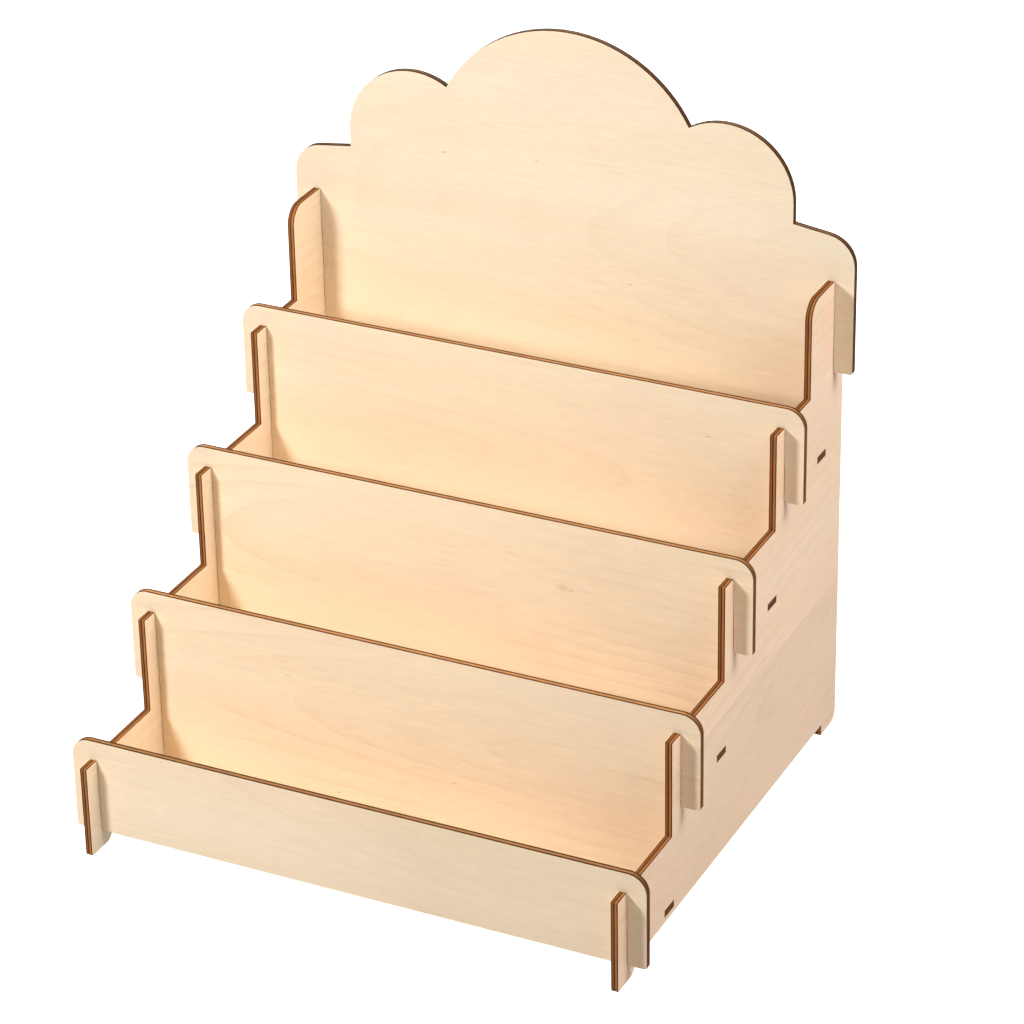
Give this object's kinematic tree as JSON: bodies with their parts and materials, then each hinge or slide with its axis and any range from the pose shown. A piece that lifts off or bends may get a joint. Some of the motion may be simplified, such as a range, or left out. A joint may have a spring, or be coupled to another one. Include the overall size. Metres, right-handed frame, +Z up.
{
  "type": "paint rack organizer",
  "caption": "Stepped desktop rack of slot-together plywood with rising open troughs for paint bottles and a tall back panel with a cloud-shaped top.",
  "frame": {"origin": "on the bench under the middle of the rack: middle of its width and depth, level with the underside of the feet", "axes": "+X to the right as seen from the front, +Y to the rear where the tall panel is, +Z up"},
  "size_m": [0.2526, 0.2234, 0.297],
  "materials": {
    "plywood": "bare pale basswood plywood, sanded faces, edges browned by the laser that cut them"
  },
  "bodies": {
    "rack_frame": {"side_panel_left": "plywood", "side_panel_right": "plywood", "tier_1_shelf": "plywood", "tier_2_shelf": "plywood", "tier_3_shelf": "plywood", "tier_4_shelf": "plywood"},
    "tier_1_panel": {"tier_1_front_panel": "plywood"},
    "tier_2_panel": {"tier_2_front_panel": "plywood"},
    "tier_3_panel": {"tier_3_front_panel": "plywood"},
    "tier_4_panel": {"tier_4_front_panel": "plywood"},
    "back_panel": {"cloud_back_panel": "plywood"}
  },
  "joints": [
    {"name": "tier_1_panel_lift", "type": "slide", "parent": "rack_frame", "child": "tier_1_panel", "axis": [0, 0, 1], "range_m": [0, 0.038]},
    {"name": "tier_2_panel_lift", "type": "slide", "parent": "rack_frame", "child": "tier_2_panel", "axis": [0, 0, 1], "range_m": [0, 0.08]},
    {"name": "tier_3_panel_lift", "type": "slide", "parent": "rack_frame", "child": "tier_3_panel", "axis": [0, 0, 1], "range_m": [0, 0.08]},
    {"name": "tier_4_panel_lift", "type": "slide", "parent": "rack_frame", "child": "tier_4_panel", "axis": [0, 0, 1], "range_m": [0, 0.08]},
    {"name": "back_panel_lift", "type": "slide", "parent": "rack_frame", "child": "back_panel", "axis": [0, 0, 1], "range_m": [0, 0.08]}
  ]
}
